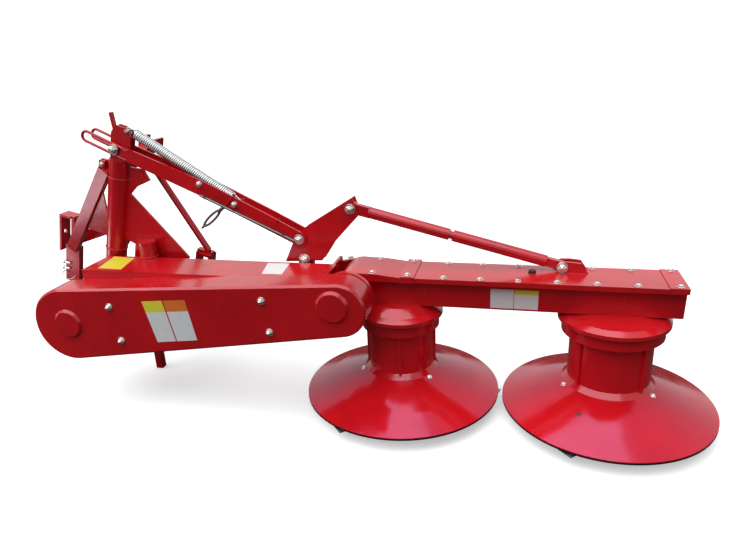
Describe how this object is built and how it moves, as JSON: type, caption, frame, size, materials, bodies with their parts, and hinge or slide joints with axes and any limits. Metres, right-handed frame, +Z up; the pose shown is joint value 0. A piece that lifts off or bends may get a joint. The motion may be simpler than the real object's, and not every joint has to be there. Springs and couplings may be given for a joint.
{
  "type": "mounted drum mower",
  "caption": "Tractor-mounted rotary drum mower: main beam with belt drive, hinged mower bar with drums and knives, lift linkage, relief spring and three-point headstock.",
  "frame": {"origin": "on the ground under the inner drum's axis, at the centre of the inner skid's flat bottom", "axes": "+X along the mower bar to its outer end, +Y forward to the tractor, +Z up"},
  "size_m": [2.8579, 0.774, 1.1672],
  "materials": {
    "frame_red": "gloss paint",
    "drum_red": "gloss paint",
    "zinc": "zinc plated",
    "spring_zinc": "galvanised",
    "latch_steel": "bright steel",
    "knife_steel": "hardened steel",
    "skid_steel": "painted, worn",
    "gear_iron": "cast"
  },
  "bodies": {
    "main_frame": {"main_beam": "frame_red", "hinge_ear_rear": "frame_red", "hinge_ear_front": "frame_red", "crank_bracket": "frame_red", "post_bracket": "frame_red", "post_pin": "zinc", "stand_lug": "frame_red", "belt_guard": "frame_red", "guard_back": "frame_red", "input_housing": "frame_red"},
    "input_shaft": {"input_shaft": "zinc"},
    "mower_bar": {"gear_beam": "frame_red", "gear_train": "gear_iron", "beam_lid": "frame_red", "lid_strap": "frame_red", "end_cap": "frame_red", "input_gearbox": "frame_red", "bar_clevis": "frame_red", "clevis_pin": "zinc", "drum_cap_inner": "drum_red", "drum_cap_outer": "drum_red"},
    "drum_inner": {"drum_inner": "drum_red", "disc_inner": "drum_red", "knives_inner": "knife_steel"},
    "drum_outer": {"drum_outer": "drum_red", "disc_outer": "drum_red", "knives_outer": "knife_steel"},
    "skid_inner": {"skid_inner": "skid_steel"},
    "skid_outer": {"skid_outer": "skid_steel"},
    "bell_crank": {"crank_near": "frame_red", "crank_far": "frame_red", "crank_pins": "zinc"},
    "lift_rod": {"rod_inner": "frame_red", "rod_outer": "frame_red"},
    "boom": {"boom_near": "frame_red", "boom_far": "frame_red", "boom_bolts": "zinc", "latch_rod": "latch_steel", "relief_spring": "spring_zinc"},
    "post": {"kingpin": "frame_red", "post_sleeve": "frame_red", "gusset_plate": "frame_red", "stop_foot": "frame_red", "head_bracket": "frame_red", "head_pins": "zinc", "head_lever": "frame_red"},
    "hitch_frame": {"upper_collar": "frame_red", "top_link_ears": "frame_red", "lower_collar": "frame_red", "left_leg": "frame_red", "hitch_bracket_left": "frame_red", "right_strut": "frame_red", "hitch_bracket_right": "frame_red"},
    "parking_stand": {"parking_stand": "frame_red"}
  },
  "joints": [
    {"name": "bar_lift", "type": "hinge", "parent": "main_frame", "child": "mower_bar", "pos_m": [-0.165, 0.048, 0.502], "axis": [0, -1, 0], "range_deg": [0, 25]},
    {"name": "crank_turn", "type": "hinge", "parent": "main_frame", "child": "bell_crank", "pos_m": [-0.391, 0.048, 0.58], "axis": [0, -1, 0], "range_deg": [0, 29.5]},
    {"name": "rod_swing", "type": "hinge", "parent": "mower_bar", "child": "lift_rod", "pos_m": [0.601, 0.048, 0.584], "axis": [0, -1, 0], "range_deg": [-7.78, 0]},
    {"name": "boom_swing", "type": "hinge", "parent": "bell_crank", "child": "boom", "pos_m": [-0.403, 0.048, 0.667], "axis": [0, -1, 0], "range_deg": [-31.12, 0]},
    {"name": "post_tilt", "type": "hinge", "parent": "main_frame", "child": "post", "pos_m": [-1.285, 0.048, 0.5], "axis": [0, -1, 0], "range_deg": [0, 3.8]},
    {"name": "hitch_swing", "type": "hinge", "parent": "post", "child": "hitch_frame", "pos_m": [-1.22537, 0.048, 0.74278], "axis": [0.2385, 0, 0.9711], "range_deg": [0, 80]},
    {"name": "inner_spin", "type": "hinge", "parent": "mower_bar", "child": "drum_inner", "pos_m": [0, 0, 0.2], "axis": [0, 0, 1], "continuous": true},
    {"name": "outer_spin", "type": "hinge", "parent": "mower_bar", "child": "drum_outer", "pos_m": [0.79, 0, 0.2], "axis": [0, 0, 1], "continuous": true},
    {"name": "inner_skid_spin", "type": "hinge", "parent": "mower_bar", "child": "skid_inner", "pos_m": [0, 0, 0.05], "axis": [0, 0, 1], "continuous": true},
    {"name": "outer_skid_spin", "type": "hinge", "parent": "mower_bar", "child": "skid_outer", "pos_m": [0.79, 0, 0.05], "axis": [0, 0, 1], "continuous": true},
    {"name": "shaft_spin", "type": "hinge", "parent": "main_frame", "child": "input_shaft", "pos_m": [-1.293, 0, 0.379], "axis": [0, 1, 0], "continuous": true},
    {"name": "stand_fold", "type": "hinge", "parent": "main_frame", "child": "parking_stand", "pos_m": [-1.17, 0.08, 0.47], "axis": [0, -1, 0], "range_deg": [0, 90]}
  ],
  "couplings": [
    {"joint": "crank_turn", "follows": "bar_lift", "ratio": 1.18},
    {"joint": "rod_swing", "follows": "bar_lift", "ratio": -0.311},
    {"joint": "boom_swing", "follows": "bar_lift", "ratio": -1.245},
    {"joint": "post_tilt", "follows": "bar_lift", "ratio": 0.152},
    {"joint": "outer_spin", "follows": "inner_spin", "ratio": -1}
  ]
}
